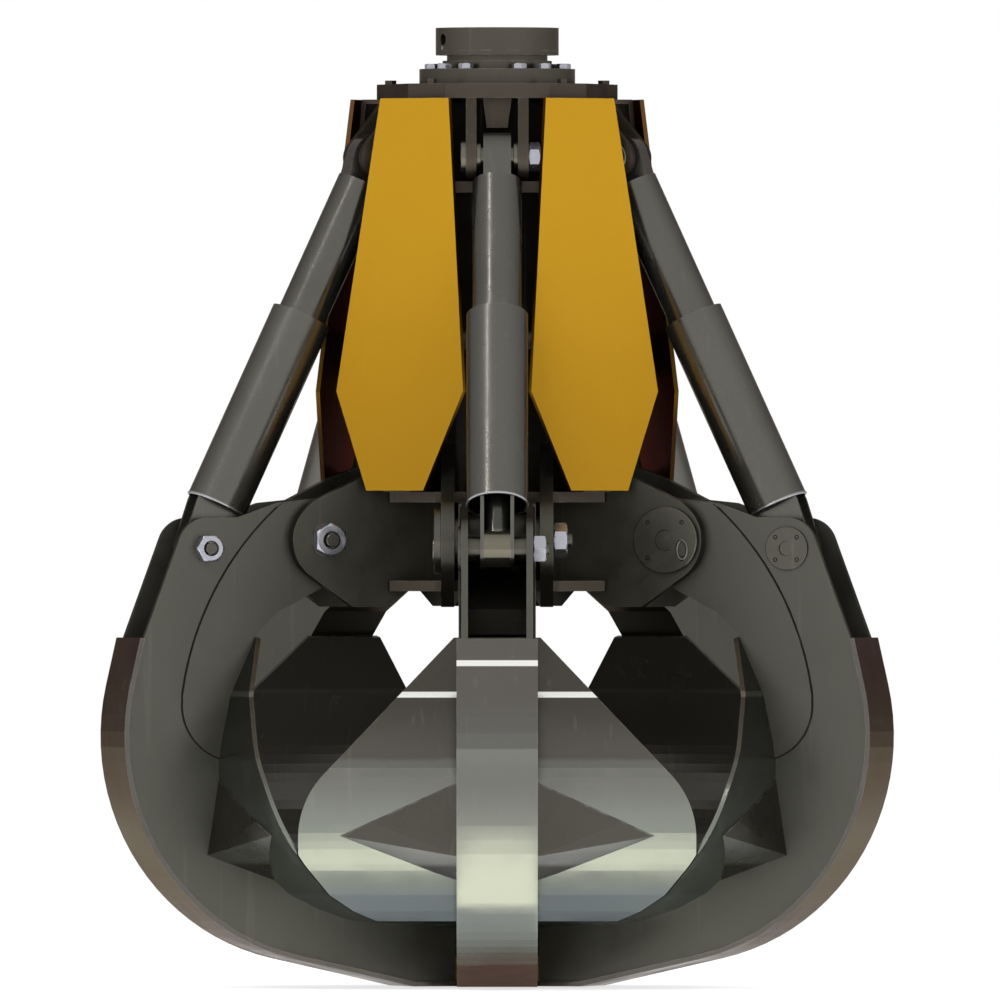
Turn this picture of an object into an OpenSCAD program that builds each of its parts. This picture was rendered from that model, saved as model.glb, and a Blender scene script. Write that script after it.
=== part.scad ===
// Orange peel grapple with five tines, five hydraulic cylinders and a rotator.
// It hangs from the top face of the rotator head: that face is z = 0, +Z is up
// and the front tine points along -Y. The tines are modelled closed.

/* [Rotator] */
// Diameter of the rotator head that bolts to the crane
head_d = 225; // [200:1:260]
// Height of the rotator head
head_h = 50; // [46:1:80]
// Bolt circle of the crane bolts in the head
head_pcd = 196; // [180:1:200]
// Clearance hole for one crane bolt
head_bolt_d = 14; // [10:0.5:16]
// Number of crane bolts
head_bolts = 12; // [6:1:16]
// Diameter of the neck below the head
neck_d = 184; // [170:1:190]
// Height of the neck
neck_h = 10; // [6:1:20]
// Diameter of the collar between neck and flange
collar_d = 200; // [190:1:206]
// Height of the collar
collar_h = 15; // [10:1:25]
// Diameter of the rotator flange
flange_d = 285; // [276:1:300]
// Thickness of the rotator flange
flange_h = 28; // [20:1:40]
// Bolt circle of the flange screws
flange_pcd = 242; // [238:1:250]
// Diameter of the turning disc inside the head
disc_d = 164; // [150:1:166]
// Diameter of the stem through the retaining ring
stem_d = 120; // [90:1:130]
// Bore for oil through the stem
stem_bore_d = 40; // [20:1:60]
// Diameter of the hydraulic port in the head
port_d = 21; // [16:0.5:24]

/* [Frame] */
// Corner radius of the ten-sided top plate
plate_r = 222; // [212:1:230]
// Thickness of the top plate
plate_t = 27; // [20:1:40]
// Corner radius of the five-sided column
column_r = 157; // [150:1:160]
// Wall of the column
column_wall = 12; // [8:1:20]
// Corner radius of the ring plate behind the cylinders
ring_r = 205; // [180:1:212]
// Thickness of the ring plate
ring_t = 20; // [12:1:30]
// Depth of the ring plate below the top plate
ring_drop = 152; // [150:1:200]
// Corner radius of the two hub plates
hub_r = 268; // [240:1:280]
// Thickness of the hub plates
hub_t = 19; // [12:1:24]
// Height of the upper hub plate above the tine hinge
hub_above = 88; // [80:1:92]
// Depth of the lower hub plate below the tine hinge
hub_below = 93; // [84:1:100]
// Thickness of one hinge bracket plate
bracket_t = 24; // [16:1:26]
// Radius of the bracket nose round the hinge pin
bracket_nose_r = 80; // [72:1:84]

/* [Guard panels] */
// Distance of a guard panel from the centre line, at its top edge
panel_d = 257; // [250:1:264]
// Outward lean of the panels in degrees
panel_lean = 4.86; // [3.5:0.1:6]
// Length of a panel along its slope
panel_l = 718; // [690:1:720]
// Distance from the top edge to the widest place
panel_wide_at = 536; // [480:1:560]
// Width at the top edge
panel_top_w = 154; // [120:1:160]
// Width at the widest place
panel_mid_w = 286; // [240:1:288]
// Width at the bottom edge
panel_low_w = 128; // [100:1:160]
// Thickness of a panel
panel_t = 8; // [5:1:10]
// Opening for hose service in the two rear side panels
panel_hole_d = 51; // [30:1:60]

/* [Pivots] */
// Distance of the upper cylinder pins from the centre line
upper_pin_r = 238; // [234:1:244]
// Depth of the upper cylinder pins below the top plate
upper_pin_drop = 108; // [100:1:112]
// Diameter of the upper cylinder pins
upper_pin_d = 40; // [36:1:41]
// Distance of the tine hinge pins from the centre line
hinge_r = 358; // [352:1:366]
// Depth of the tine hinge pins below the top plate
hinge_drop = 806; // [796:1:830]
// Diameter of the tine hinge pins
hinge_pin_d = 60; // [50:1:62]
// Distance from the hinge pin out to the lower cylinder pin
lower_pin_out = 218; // [214:1:222]
// Drop from the hinge pin to the lower cylinder pin
lower_pin_low = 15; // [10:1:18]
// Diameter of the lower cylinder pins
lower_pin_d = 44; // [38:1:46]
// Running clearance on the diameter of a pin or a slide
fit = 0.1; // [0.06:0.01:0.18]
// Free play round the upper pin in the cylinder eye
eye_play = 11.5; // [11.5:0.1:12]

/* [Cylinders] */
// Outer diameter of the cylinder barrel
barrel_d = 90; // [84:1:92]
// Bore of the cylinder barrel
barrel_bore = 74; // [66:1:76]
// Distance from the upper pin to the top of the barrel tube
barrel_start = 52; // [50:1:60]
// Distance from the upper pin to the lower end of the barrel tube
barrel_end = 440; // [430:1:450]
// Radius of the barrel eye
eye_r = 44; // [43.5:0.5:45]
// Width of the barrel eye
eye_w = 50; // [40:1:54]
// Diameter of the piston rod
rod_d = 50; // [40:1:54]
// Length of the piston
piston_l = 45; // [30:1:60]
// Outer diameter of the guard sleeve
sleeve_d = 112; // [110:1:113]
// Wall of the guard sleeve
sleeve_wall = 5; // [3:0.5:6]
// Distance from the lower pin to the bottom of the sleeve
sleeve_low = 88; // [87:1:95]
// Length of the guard sleeve
sleeve_l = 380; // [340:1:385]
// Width of the rod eye
rod_eye_w = 48; // [40:1:52]
// Radius of the rod eye
rod_eye_r = 34; // [30:0.5:38]
// Thickness of the sleeve lugs beside the rod eye
lug_t = 6.5; // [5:0.5:8]

/* [Tines] */
// Gap between the two webs of a tine
web_gap = 106; // [104:1:112]
// Thickness of one web
web_t = 12; // [8:1:13]
// Thickness of the doubler plate round the hinge
doubler_t = 5; // [3:0.5:6]
// Radius of the tine head round the hinge
tine_head_r = 76; // [70:1:80]
// Outer radius of the curved back band
band_r = 417; // [410:1:424]
// Width of the back band
band_w = 147; // [142:1:150]
// Thickness of the back band
band_t = 9; // [6:1:14]
// Outer radius of the curved leaf
leaf_r = 252; // [248:1:256]
// Thickness of the leaf
leaf_t = 8; // [5:1:12]
// Greatest half width of a leaf
leaf_half_w = 361; // [340:1:365]
// Gap between neighbouring leaves when closed
leaf_gap = 3; // [2:0.5:8]
// Thickness of the folded side gussets
gusset_t = 8; // [5:1:10]
// Radius from the centre line to the outer face of a tip
tip_r = 101; // [96:1:110]

/* [Hidden] */
TINE_NODES = ["tine_webs", "tine_band", "tine_leaf", "tine_gussets", "tine_tip",
    "lower_pin", "guard_sleeve", "piston_rod", "cylinder_barrel"];
$fn = 96;
arc_step = 4;

tine_count = 5;
sector = 180 / tine_count;
steel = "#5b5850";
dark_steel = "#3e3b36";
plated = "#a9abb6";
paint = "#c49424";
eps = 0.01;

// Levels, from the top face of the head downwards.
turn_gap = 0.3;
ring_h = 8;
disc_h = 16;
cap_h = head_h - ring_h - disc_h - 2 * turn_gap;
neck_top = -head_h - turn_gap;
flange_top = neck_top - neck_h - collar_h;
plate_top = flange_top - flange_h;
plate_low = plate_top - plate_t;
upper_pin_z = plate_low - upper_pin_drop;
hinge_z = plate_low - hinge_drop;
lower_pin_r = hinge_r + lower_pin_out;
lower_pin_z = hinge_z - lower_pin_low;
column_low = hinge_z - hub_below;

// Cylinder axis from the lower pin to the upper pin.
cyl_dr = lower_pin_r - upper_pin_r;
cyl_dz = upper_pin_z - lower_pin_z;
cyl_l = norm([cyl_dr, cyl_dz]);
cyl_lean = atan2(cyl_dr, cyl_dz);

// Widths across a tine, measured from its middle plane.
web_in = web_gap / 2;
web_out = web_in + web_t;
doubler_out = web_out + doubler_t;
bracket_in = doubler_out + 8;
bracket_out = bracket_in + bracket_t;
side_gap = 0.5;
hanger_in = eye_w / 2 + 13;
hanger_t = 19;
hanger_out = hanger_in + hanger_t;
hanger_nose_r = 40;

// Fasteners: [thread, width across flats, nut height].
m30 = [30, 46, 24];
m30_low = [30, 46, 22];
m36 = [36, 55, 26];
m16 = [16, 24, 10];
m12 = [12, 19, 8];

// Placement helpers. X points outwards, Y across the tine and Z up.
module at_azimuth(a) {
    rotate([0, 0, a - 90])
        children();
}

module at_tine(k) {
    at_azimuth((k - 1) * 2 * sector)
        children();
}

module at_hinge(k) {
    at_tine(k)
        translate([hinge_r, 0, hinge_z])
            children();
}

// Z runs up the cylinder axis from the lower pin.
module at_lower_pin(k) {
    at_tine(k)
        translate([lower_pin_r, 0, lower_pin_z])
            rotate([0, -cyl_lean, 0])
                children();
}

// A plate whose outline is drawn in the middle plane, from y0 to y1 across it.
module across(y0, y1) {
    translate([0, y1, 0])
        rotate([90, 0, 0])
            linear_extrude(y1 - y0)
                children();
}

module both_sides() {
    children();
    mirror([0, 1, 0])
        children();
}

module cross_pin(d, y0, y1) {
    translate([0, y0, 0])
        rotate([-90, 0, 0])
            cylinder(d = d, h = y1 - y0);
}

module hex_nut(size, bore) {
    difference() {
        cylinder(d = size[1] / cos(30), h = size[2], $fn = 6);
        translate([0, 0, -1])
            cylinder(d = bore, h = size[2] + 2);
    }
}

module hex_screw(size, depth) {
    cylinder(d = size[1] / cos(30), h = size[2], $fn = 6);
    translate([0, 0, -depth])
        cylinder(d = size[0], h = depth + eps);
}

// Ten-sided outline with long edges facing the tines.
tine_edge_angle = 25;
module ten_sided(r) {
    polygon([for (k = [0:tine_count - 1], s = [-1, 1])
        let (a = 2 * sector * k + s * tine_edge_angle - 90)
        [r * cos(a), r * sin(a)]]);
}

module five_sided(r) {
    polygon([for (k = [0:tine_count - 1])
        let (a = 2 * sector * k + sector - 90)
        [r * cos(a), r * sin(a)]]);
}

// Sector of the circle that belongs to one tine, with half the leaf gap off.
module tine_sector(gap, z0, z1) {
    far = 2.5 * hinge_r;
    translate([gap / 2 / sin(sector), 0, z0])
        linear_extrude(z1 - z0)
            polygon([[0, 0], [far, far * tan(sector)], [far, -far * tan(sector)]]);
}

// The point where a line from p touches a circle, on side s (1 or -1).
function touch(p, c, r, s) =
    let (d = p - c, a = atan2(d.y, d.x) + s * acos(r / norm(d)))
    c + r * [cos(a), sin(a)];

// Points of an arc round c from angle a0 to a1, both ends included.
function arc_points(c, r, a0, a1) =
    let (n = ceil(abs(a1 - a0) / arc_step))
    [for (i = [0:n]) let (a = a0 + i * (a1 - a0) / n) c + r * [cos(a), sin(a)]];

// Arc round c from the tangent point of p0 to the tangent point of p1.
function wrap(p0, s0, p1, s1, c, r) =
    let (t0 = touch(p0, c, r, s0) - c, t1 = touch(p1, c, r, s1) - c,
        a0 = atan2(t0.y, t0.x), a1 = atan2(t1.y, t1.x),
        turn = s0 > 0 ? (a1 - a0 + 720) % 360 : -((a0 - a1 + 720) % 360))
    arc_points(c, r, a0, a0 + turn);

/* Rotator */

head_low = -head_h + ring_h;
port_z = -22;
port_depth = 20;
port_azimuths = [-62, 118];
plug_d = 7;
plug_l = 12;
plug_z = port_z - port_d / 2 - plug_d / 2 - 1;
head_bolt_depth = 22;
module rotator_head() {
    color(steel)
    difference() {
        translate([0, 0, head_low])
            cylinder(d = head_d, h = -head_low);
        translate([0, 0, head_low - 1])
            cylinder(d = disc_d + fit, h = 1 + disc_h + 2 * turn_gap);
        for (i = [0:head_bolts - 1])
            rotate([0, 0, (i + 0.5) * 360 / head_bolts])
                translate([head_pcd / 2, 0, -head_bolt_depth])
                    cylinder(d = head_bolt_d, h = head_bolt_depth + 1);
        for (a = port_azimuths)
            at_azimuth(a)
                translate([head_d / 2 - port_depth, 0, port_z])
                    rotate([0, 90, 0])
                        cylinder(d = port_d, h = port_depth + 1);
        at_port_plugs()
            cylinder(d = plug_d, h = plug_l + 1);
    }
}

module retaining_ring() {
    color(steel)
    difference() {
        translate([0, 0, -head_h])
            cylinder(d = head_d, h = ring_h);
        translate([0, 0, -head_h - 1])
            cylinder(d = stem_d + fit, h = ring_h + 2);
    }
}

module at_port_plugs() {
    for (a = port_azimuths)
        at_azimuth(a)
            translate([head_d / 2 - plug_l, 0, plug_z])
                rotate([0, 90, 0])
                    children();
}

module port_plugs() {
    color(plated)
    at_port_plugs()
        difference() {
            cylinder(d = plug_d - fit, h = plug_l + 1);
            translate([0, 0, plug_l / 2])
                cylinder(d = plug_d / 2, h = plug_l, $fn = 6);
        }
}

pair_azimuth = 31.6;
pair_half = 12.35;
module at_flange_screws() {
    for (k = [0:tine_count - 1], s = [-1, 1])
        at_azimuth(pair_azimuth + k * 2 * sector + s * pair_half)
            translate([flange_pcd / 2, 0, 0])
                children();
}

module rotator_flange() {
    disc_low = head_low + turn_gap;
    color(steel)
    difference() {
        rotate_extrude()
            polygon([
                [0, disc_low + disc_h], [disc_d / 2, disc_low + disc_h], [disc_d / 2, disc_low],
                [stem_d / 2, disc_low], [stem_d / 2, neck_top], [neck_d / 2, neck_top],
                [neck_d / 2, neck_top - neck_h], [collar_d / 2, neck_top - neck_h],
                [collar_d / 2, flange_top], [flange_d / 2, flange_top],
                [flange_d / 2, plate_top], [0, plate_top]
            ]);
        translate([0, 0, plate_top - 1])
            cylinder(d = stem_bore_d, h = head_h - plate_top);
        at_flange_screws()
            translate([0, 0, plate_top - 1])
                cylinder(d = m16[0] + fit, h = flange_h + 2);
    }
}

module flange_bolts() {
    color(plated)
    at_flange_screws()
        translate([0, 0, flange_top])
            hex_screw(m16, flange_h + plate_t * 0.8);
}

/* Frame */

panel_bolt_r = 205;
module at_panel(k) {
    at_azimuth(sector + k * 2 * sector)
        children();
}

module top_plate() {
    color(dark_steel)
    difference() {
        translate([0, 0, plate_low])
            linear_extrude(plate_t)
                ten_sided(plate_r);
        translate([0, 0, plate_low - 1])
            cylinder(d = stem_bore_d, h = plate_t + 2);
        at_flange_screws()
            translate([0, 0, plate_low + plate_t * 0.15])
                cylinder(d = m16[0] + fit, h = plate_t);
        for (k = [0:tine_count - 1])
            at_panel(k)
                translate([panel_bolt_r, 0, plate_low - 1])
                    cylinder(d = m12[0] + fit, h = plate_t + 2);
    }
}

column_flat = column_r * cos(sector);
module column() {
    color(dark_steel) {
        difference() {
            translate([0, 0, column_low])
                linear_extrude(plate_low - column_low)
                    five_sided(column_r);
            translate([0, 0, column_low - 1])
                linear_extrude(plate_low - column_low + 2)
                    five_sided(column_r - column_wall / cos(sector));
        }
        translate([0, 0, column_low])
            linear_extrude(hub_t)
                five_sided(column_r - column_wall / cos(sector));
    }
}

// Outline of a hanger plate that carries one side of an upper cylinder pin.
module hanger_outline() {
    pin = [upper_pin_r, upper_pin_z];
    shoulder = [plate_r * cos(tine_edge_angle), plate_low];
    root = [column_flat, upper_pin_z - hanger_nose_r * 0.9];
    polygon(concat(
        [[column_flat, plate_low], shoulder],
        wrap(shoulder, -1, root, 1, pin, hanger_nose_r),
        [root]
    ));
}

stop_l = 54;
stop_w = [38, 52];
module hanger_plates() {
    color(dark_steel)
    for (k = [1:tine_count])
        at_tine(k) {
            difference() {
                both_sides()
                    across(hanger_in, hanger_out)
                        hanger_outline();
                translate([upper_pin_r, 0, upper_pin_z])
                    cross_pin(upper_pin_d + fit, -hanger_out - 1, hanger_out + 1);
            }
            // Tapered stiffener between the two plates
            translate([column_flat, 0, 0])
                rotate([90, 0, 90])
                    linear_extrude(hanger_nose_r)
                        polygon([
                            [-stop_w[1] / 2, plate_low], [stop_w[1] / 2, plate_low],
                            [stop_w[0] / 2, plate_low - stop_l],
                            [-stop_w[0] / 2, plate_low - stop_l]
                        ]);
        }
}

module hub_plates() {
    levels = [
        [plate_low - ring_drop - ring_t, ring_t, ring_r],
        [hinge_z + hub_above - hub_t, hub_t, hub_r],
        [hinge_z - hub_below, hub_t, hub_r]
    ];
    color(dark_steel)
    for (level = levels)
        translate([0, 0, level[0]])
            difference() {
                linear_extrude(level[1])
                    ten_sided(level[2]);
                translate([0, 0, -1])
                    linear_extrude(level[1] + 2)
                        five_sided(column_r);
                if (level[2] == hub_r)
                    for (k = [1:tine_count])
                        at_tine(k)
                            both_sides()
                                translate([0, bracket_in, -1])
                                    cube([hub_r + 20, bracket_t, level[1] + 2]);
            }
}

// Outline of a hinge bracket, measured from the hinge pin.
bracket_crest = [-66, 115];
bracket_heel = [-49, -121.6];
bracket_foot = [[-116, -121.6], [-155, -90]];
bracket_rise = 175;
nose_back = 14;
module bracket_outline() {
    root = column_flat - hinge_r;
    polygon(concat(
        [[root, bracket_rise], bracket_crest],
        wrap(bracket_crest, -1, bracket_heel, 1, [-nose_back, 0], bracket_nose_r),
        [bracket_heel],
        bracket_foot,
        [[root, bracket_foot[1].y]]
    ));
}

mitre = 0.2;
module hub_brackets() {
    color(dark_steel)
    for (k = [1:tine_count])
        intersection() {
            at_hinge(k)
                difference() {
                    both_sides()
                        across(bracket_in, bracket_out)
                            bracket_outline();
                    cross_pin(hinge_pin_d + fit, -bracket_out - 1, bracket_out + 1);
                }
            at_tine(k)
                tine_sector(mitre, hinge_z + bracket_heel.y - 1, hinge_z + bracket_rise + 1);
        }
}

/* Guard panels */

panel_gap = 0.3;
panel_top_z = plate_low - panel_gap;
// Distance of the inner face of a panel from the centre line, at height z.
function panel_face(z) =
    panel_d - panel_t / cos(panel_lean) + (panel_top_z - z) * tan(panel_lean);

panel_hole_at = [33, 445];
module panel_outline() {
    polygon([
        [-panel_top_w / 2, 0], [panel_top_w / 2, 0], [panel_mid_w / 2, -panel_wide_at],
        [panel_low_w / 2, -panel_l], [-panel_low_w / 2, -panel_l],
        [-panel_mid_w / 2, -panel_wide_at]
    ]);
}

module guard_panels() {
    color(paint)
    for (k = [0:tine_count - 1])
        at_panel(k)
            translate([panel_d, 0, panel_top_z])
                rotate([0, -panel_lean, 0])
                    difference() {
                        translate([-panel_t, 0, 0])
                            rotate([90, 0, 90])
                                linear_extrude(panel_t)
                                    panel_outline();
                        // Only the two rear side panels have the hose opening
                        if (k == 1 || k == 3)
                            translate([0, panel_hole_at[0] * (2 - k), -panel_hole_at[1]])
                                rotate([0, 90, 0])
                                    cylinder(d = panel_hole_d, h = 4 * panel_t, center = true);
                    }
}

clip_t = 8;
clip_leg = 60;
clip_w = 70;
ear_w = 60;
stay_t = 12;
stay_z = [-560, -640];
module panel_ear(r0, z1, z0) {
    across(-ear_w / 2, ear_w / 2)
        polygon([[r0, z1], [panel_face(z1), z1], [panel_face(z0), z0], [r0, z0]]);
}

module panel_brackets() {
    ring_top = plate_low - ring_drop;
    hub_top = hinge_z + hub_above;
    ear_root = plate_r * cos(sector - tine_edge_angle) - clip_leg;
    clip_low = plate_low - clip_leg;
    color(dark_steel)
    for (k = [0:tine_count - 1])
        at_panel(k) {
            difference() {
                across(-clip_w / 2, clip_w / 2)
                    polygon([
                        [ear_root, plate_low], [panel_face(plate_low), plate_low],
                        [panel_face(clip_low), clip_low], [panel_face(clip_low) - clip_t, clip_low],
                        [panel_face(plate_low - clip_t) - clip_t, plate_low - clip_t],
                        [ear_root, plate_low - clip_t]
                    ]);
                translate([panel_bolt_r, 0, clip_low])
                    cylinder(d = m12[0] + fit, h = clip_leg + 1);
            }
            panel_ear(ring_r * cos(sector - tine_edge_angle), ring_top, ring_top - ring_t);
            panel_ear(hub_r * cos(sector - tine_edge_angle) - 25, hub_top + ring_t, hub_top);
            difference() {
                across(-stay_t / 2, stay_t / 2)
                    polygon([
                        [column_flat, stay_z[0]], [panel_face(stay_z[0]), stay_z[0]],
                        [panel_face(stay_z[1]), stay_z[1]], [column_flat, stay_z[1]]
                    ]);
                translate([0, 0, stay_z[1] - 1])
                    linear_extrude(stay_z[0] - stay_z[1] + 2)
                        rotate([0, 0, 90 - sector])
                            five_sided(column_r);
            }
            translate([panel_bolt_r, 0, plate_top])
                hex_screw(m12, plate_t + clip_t);
        }
}

/* Pins of the frame */

collar_r = 27;
upper_head_r = 30;
upper_head_t = 10;
module upper_pins() {
    for (k = [1:tine_count])
        at_tine(k)
            translate([upper_pin_r, 0, upper_pin_z]) {
                color(steel) {
                    cross_pin(upper_pin_d, -hanger_out, hanger_out);
                    cross_pin(2 * upper_head_r, -hanger_out - upper_head_t, -hanger_out);
                    cross_pin(m30_low[0], hanger_out - eps, hanger_out + m30_low[2]);
                    both_sides()
                        difference() {
                            cross_pin(2 * collar_r, eye_w / 2 + 4.5, hanger_in);
                            cross_pin(upper_pin_d, 0, hanger_in + 1);
                        }
                }
                color(plated)
                    translate([0, hanger_out, 0])
                        rotate([-90, 30, 0])
                            hex_nut(m30_low, m30_low[0]);
            }
}

cap_r = 61;
cap_t = 13;
pin_dish_r = 19;
module hinge_pins() {
    for (k = [1:tine_count])
        at_hinge(k) {
            color(steel) {
                difference() {
                    union() {
                        cross_pin(hinge_pin_d, -bracket_out - eps, bracket_out);
                        cross_pin(2 * cap_r, -bracket_out - cap_t, -bracket_out);
                        cross_pin(m36[0], bracket_out - eps, bracket_out + m36[2] + 9);
                    }
                    cross_pin(2 * pin_dish_r, -bracket_out - cap_t - 1, -bracket_out - cap_t + 4);
                }
            }
            color(plated) {
                translate([0, bracket_out, 0])
                    rotate([-90, 0, 0])
                        hex_nut(m36, m36[0]);
            }
        }
}

manifold_d = 51;
manifold_l = 130;
manifold_z = -575;
saddle_t = 16;
saddle_h = 38;
module manifolds() {
    axis_r = column_flat + 8 + manifold_d / 2;
    color(dark_steel)
    for (k = [1:tine_count])
        at_tine(k)
            translate([axis_r, 0, manifold_z]) {
                cross_pin(manifold_d, -manifold_l / 2, manifold_l / 2);
                both_sides()
                    difference() {
                        translate([column_flat - axis_r, manifold_l / 4, -saddle_h / 2])
                            cube([axis_r - column_flat, saddle_t, saddle_h]);
                        cross_pin(manifold_d, -manifold_l, manifold_l);
                    }
            }
}

/* Tines. Outlines are measured from the hinge pin, x outwards and y up. */

// Straight legs that run on from the arc: [length, lean in degrees].
function leg_dir(a, up) = up ? [-sin(a), cos(a)] : [-cos(a), -sin(a)];
function leg_normal(a, up) = up ? [cos(a), sin(a)] : [sin(a), -cos(a)];
function walk(p, legs, up, n) =
    n == 0 ? p : walk(p, legs, up, n - 1) + legs[n - 1][0] * leg_dir(legs[n - 1][1], up);
function leg_corner(start, legs, up, inset, n) =
    let (last = len(legs),
        n0 = leg_normal(legs[max(n - 1, 0)][1], up),
        n1 = leg_normal(legs[min(n, last - 1)][1], up))
    walk(start, legs, up, n) - inset * (n0 + n1) / (1 + n0 * n1);

// Outline of a curved shell from top to tip, inset by a thickness: the top legs,
// an arc round c, then the tip legs.
function shell_path(c, r, top_legs, tip_legs, inset) =
    let (a0 = top_legs[0][1], a1 = tip_legs[0][1] - 90,
        t0 = c + r * leg_normal(a0, true), t1 = c + r * leg_normal(tip_legs[0][1], false))
    concat(
        [for (n = [len(top_legs):-1:1]) leg_corner(t0, top_legs, true, inset, n)],
        arc_points(c, r - inset, a0, a1),
        [for (n = [1:len(tip_legs)]) leg_corner(t1, tip_legs, false, inset, n)]
    );
function reverse(list) = [for (i = [len(list) - 1:-1:0]) list[i]];

band_c = [-38, -357];
band_top_legs = [[88, 13]];
band_tip_legs = [[233, 12.5], [200, 0]];
function band_path(inset) = shell_path(band_c, band_r, band_top_legs, band_tip_legs, inset);

leaf_c = [-55, -412];
leaf_top_legs = [[81, 12], [114, 24]];
leaf_tip_legs = [[67, 42], [66, 27], [62, 18], [36, 8], [208, 3]];
function leaf_path(inset) = shell_path(leaf_c, leaf_r, leaf_top_legs, leaf_tip_legs, inset);
leaf_top = leaf_path(0)[0];

// Everything of a tine that lies outside the tip block.
reach = 4 * hinge_r;
module outside_tip() {
    intersection() {
        children();
        translate([-hinge_r, 0, 0])
            tine_sector(leaf_gap, -reach, reach);
        translate([tip_r - hinge_r, -reach, -reach])
            cube(2 * reach);
    }
}

low_pin = [lower_pin_out, -lower_pin_low];
lower_head_r = 56;
web_throat = [86, -132];
web_crest = [[84, 68], [160, 42]];

module web_outline() {
    hub = [0, 0];
    inner = band_path(band_t);
    polygon(concat(
        wrap(web_throat, -1, web_crest[0], 1, hub, tine_head_r),
        web_crest,
        wrap(web_crest[1], -1, inner[0], 1, low_pin, lower_head_r),
        inner,
        reverse(leaf_path(0)),
        [web_throat]
    ));
}

// Plate between the webs, along their inner edge from the leaf up to the hinge.
throat_t = 8;
module throat_outline() {
    hub_end = touch(web_throat, [0, 0], tine_head_r, -1);
    edge = [leaf_top, web_throat, hub_end];
    lift = [for (i = [0:1]) let (d = edge[i + 1] - edge[i]) throat_t * [d.y, -d.x] / norm(d)];
    corner = web_throat + (lift[0] + lift[1]) / (1 + lift[0] * lift[1] / pow(throat_t, 2));
    polygon(concat(edge, [hub_end + lift[1], corner, leaf_top + lift[0]]));
}

// Doubler plate: the part of the web on the hinge side of two arcs.
doubler_back = [-291, -358];
doubler_back_r = 562;
doubler_nose = [165, -300];
doubler_nose_r = 101;
module doubler_outline() {
    intersection() {
        web_outline();
        polygon(concat(
            arc_points(doubler_back, doubler_back_r, 49, 7.6),
            arc_points(doubler_nose, doubler_nose_r, 5, -75),
            [[-hinge_r, doubler_nose.y - doubler_nose_r], [-hinge_r, tine_head_r + 20]]
        ));
    }
}

hinge_tube_d = 92;
bush_d = hinge_pin_d + 12;
bush_flange_d = 88;
bush_l = 34;
module tine_webs(k) {
    at_hinge(k) {
        color(steel)
        difference() {
            union() {
                outside_tip()
                    both_sides()
                        across(web_in, web_out)
                            web_outline();
                both_sides()
                    across(web_out, doubler_out)
                        doubler_outline();
                cross_pin(hinge_tube_d, -web_in, web_in);
                across(-web_in - eps, web_in + eps)
                    throat_outline();
            }
            cross_pin(bush_d, -bracket_in, bracket_in);
            translate([low_pin.x, 0, low_pin.y])
                cross_pin(lower_pin_d + fit, -doubler_out - 1, doubler_out + 1);
        }
        color(plated)
        both_sides()
            difference() {
                union() {
                    cross_pin(bush_d, doubler_out - bush_l, doubler_out);
                    cross_pin(bush_flange_d, doubler_out, bracket_in - side_gap);
                }
                cross_pin(hinge_pin_d + fit, 0, bracket_in + 1);
            }
    }
}

module tine_band(k) {
    color(steel)
    at_hinge(k)
        outside_tip()
            across(-band_w / 2, band_w / 2)
                polygon(concat(band_path(0), reverse(band_path(band_t))));
}

leaf_top_w = 138;
leaf_corner_r = 168;
module leaf_outline() {
    corner = [leaf_half_w - leaf_corner_r, -540];
    top = [leaf_top_w / 2, leaf_top.y + 10];
    start = touch(top, corner, leaf_corner_r, -1) - corner;
    side = concat([top], arc_points(corner, leaf_corner_r, atan2(start.y, start.x), 0),
        [[leaf_half_w, -reach]]);
    polygon(concat(side, reverse([for (p = side) [-p.x, p.y]])));
}

module tine_leaf(k) {
    color("#8d8c7e")
    at_hinge(k)
        outside_tip()
            intersection() {
                across(-leaf_half_w, leaf_half_w)
                    polygon(concat(leaf_path(0), reverse(leaf_path(leaf_t))));
                translate([-hinge_r, 0, 0])
                    rotate([90, 0, 90])
                        linear_extrude(2 * hinge_r)
                            leaf_outline();
            }
}

// Folded gusset: two plates that meet in a ridge from the web to an apex on the leaf.
// Seen from the front its edges are straight, so they follow the leaf in short steps.
gusset_top = -435;
gusset_low = -622;
gusset_ridge = [218, -574];
gusset_apex = [285, -536];
gusset_steps = 4;
gusset_lift = 0.8;
function on_leaf(t, z) =
    [leaf_c.x + sqrt(pow(leaf_r, 2) - pow(z - leaf_c.y, 2)) + gusset_lift, t, z];
function gusset_side(z, s) =
    on_leaf(web_out + s * (gusset_apex.x - web_out), z + s * (gusset_apex.y - z));
module gusset_solid() {
    edge = concat(
        [for (i = [0:gusset_steps]) gusset_side(gusset_top, i / gusset_steps)],
        [for (i = [gusset_steps - 1:-1:0]) gusset_side(gusset_low, i / gusset_steps)]
    );
    last = len(edge) - 1;
    ridge = last + 1;
    back = last + 2;
    polyhedron(
        concat(edge, [
            [gusset_ridge.x, web_out, gusset_ridge.y],
            [leaf_c.x + leaf_r / 2, web_out, gusset_apex.y]
        ]),
        concat(
            [for (i = [0:last - 1]) [ridge, i, i + 1]],
            [for (i = [0:last - 1]) [back, i + 1, i]],
            [[ridge, last, back, 0]]
        )
    );
}

module tine_gussets(k) {
    color("#4a4f50")
    at_hinge(k)
        both_sides()
            difference() {
                gusset_solid();
                translate([-gusset_t, -gusset_t / 2, 0])
                    gusset_solid();
                across(0, leaf_half_w)
                    polygon(concat(leaf_path(0), [[-hinge_r, leaf_top.y]]));
                across(0, doubler_out)
                    doubler_outline();
            }
}

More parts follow.
